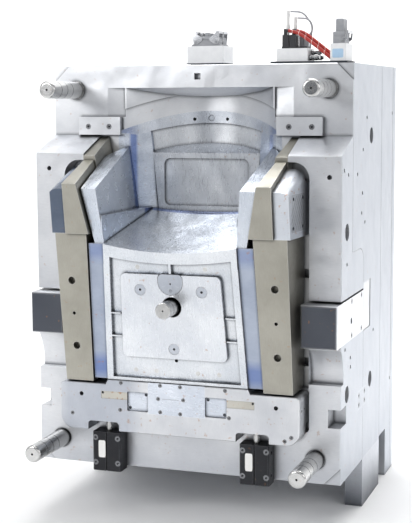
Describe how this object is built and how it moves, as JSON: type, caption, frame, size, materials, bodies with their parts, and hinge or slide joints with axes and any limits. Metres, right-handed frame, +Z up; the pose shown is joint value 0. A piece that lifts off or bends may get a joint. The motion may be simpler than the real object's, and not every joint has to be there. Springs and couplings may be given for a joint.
{
  "type": "injection mould half",
  "caption": "Moving half of an injection mould for an armchair: stepped plates, chair-shaped core, side slides, hydraulic bottom slide, guide pillars and ejector box.",
  "frame": {"origin": "middle of the footprint at floor height", "axes": "+X to the right seen from the parting face, +Y from the parting side to the clamp plate, +Z up"},
  "size_m": [1.1, 1.134, 1.757],
  "materials": {
    "plate_steel": "ground and milled",
    "core_steel": "polished core steel",
    "rail_steel": "ground, warm grey",
    "insert_steel": "milled",
    "dark_steel": "hardened and ground, dark",
    "black_oxide": "black oxide, satin",
    "pillar_steel": "ground and hardened",
    "screw_steel": "blackened screws",
    "bronze": "bronze wear bars",
    "white_paint": "white powder coat",
    "die_cast": "die cast, matt",
    "lever_steel": "zinc plated",
    "black_plastic": "matt",
    "grey_plastic": "matt",
    "white_plastic": "gloss",
    "red_rubber": "satin red",
    "tray_steel": "dark grey sheet",
    "coupling_steel": "plated"
  },
  "bodies": {
    "base": {"front_plate": "plate_steel", "support_plate": "plate_steel", "left_rail": "plate_steel", "right_rail": "plate_steel", "clamp_plate": "plate_steel", "front_feet": "plate_steel", "ejector_guide_pins": "pillar_steel", "center_pin_bush": "bronze", "seat_core": "core_steel", "front_panel": "core_steel", "panel_plugs": "core_steel", "d_insert": "core_steel", "core_strips": "core_steel", "left_arm_core": "core_steel", "right_arm_core": "core_steel", "top_blocks": "rail_steel", "back_insert": "core_steel", "arch_insert": "core_steel", "back_pillars": "core_steel", "guide_pillars": "pillar_steel", "left_interlock": "dark_steel", "right_interlock": "dark_steel", "tie_plates": "plate_steel", "cap_screws": "screw_steel", "left_cylinder": "black_oxide", "right_cylinder": "black_oxide", "cylinder_screws": "screw_steel", "junction_boxes": "white_paint", "connector_housings": "die_cast", "wiring_tray": "tray_steel", "manifold": "white_paint", "black_valves": "black_plastic", "grey_valves": "grey_plastic", "white_fittings": "white_plastic", "quick_couplings": "coupling_steel", "red_hoses": "red_rubber", "grey_tubes": "grey_plastic"},
    "bottom_slide": {"bottom_slide": "insert_steel", "slide_center_plate": "insert_steel", "slide_inserts": "insert_steel", "slide_bars": "bronze", "slide_screws": "screw_steel", "piston_rods": "pillar_steel"},
    "left_side_slide": {"left_side_rail": "rail_steel", "left_arm_wedge": "rail_steel", "left_arm_cheek": "rail_steel", "left_wear_plate": "dark_steel"},
    "right_side_slide": {"right_side_rail": "rail_steel", "right_arm_wedge": "rail_steel", "right_arm_cheek": "rail_steel", "right_wear_plate": "dark_steel"},
    "ejector": {"ejector_retainer": "insert_steel", "ejector_plate": "insert_steel", "ejector_pins": "pillar_steel", "center_pin": "pillar_steel"},
    "front_left_lever": {"front_left_lever": "lever_steel"},
    "front_right_lever": {"front_right_lever": "lever_steel"},
    "rear_left_lever": {"rear_left_lever": "lever_steel"},
    "rear_right_lever": {"rear_right_lever": "lever_steel"},
    "hood_lever": {"hood_lever": "lever_steel"}
  },
  "joints": [
    {"name": "bottom_slide_travel", "type": "slide", "parent": "base", "child": "bottom_slide", "axis": [0, 0, -1], "range_m": [0, 0.03]},
    {"name": "left_side_slide_travel", "type": "slide", "parent": "base", "child": "left_side_slide", "axis": [-1, 0, 0], "range_m": [0, 0.012]},
    {"name": "right_side_slide_travel", "type": "slide", "parent": "base", "child": "right_side_slide", "axis": [1, 0, 0], "range_m": [0, 0.012]},
    {"name": "ejector_travel", "type": "slide", "parent": "base", "child": "ejector", "axis": [0, -1, 0], "range_m": [0, 0.1]},
    {"name": "front_left_lever_hinge", "type": "hinge", "parent": "base", "child": "front_left_lever", "pos_m": [-0.046, -0.042, 1.657], "axis": [0, -1, 0], "range_deg": [0, 75]},
    {"name": "front_right_lever_hinge", "type": "hinge", "parent": "base", "child": "front_right_lever", "pos_m": [0.03, -0.042, 1.657], "axis": [0, 1, 0], "range_deg": [0, 75]},
    {"name": "rear_left_lever_hinge", "type": "hinge", "parent": "base", "child": "rear_left_lever", "pos_m": [-0.046, 0.01, 1.657], "axis": [0, -1, 0], "range_deg": [0, 75]},
    {"name": "rear_right_lever_hinge", "type": "hinge", "parent": "base", "child": "rear_right_lever", "pos_m": [0.03, 0.01, 1.657], "axis": [0, 1, 0], "range_deg": [0, 75]},
    {"name": "hood_lever_hinge", "type": "hinge", "parent": "base", "child": "hood_lever", "pos_m": [0.502, -0.088, 1.655], "axis": [0, 1, 0], "range_deg": [0, 50]}
  ]
}
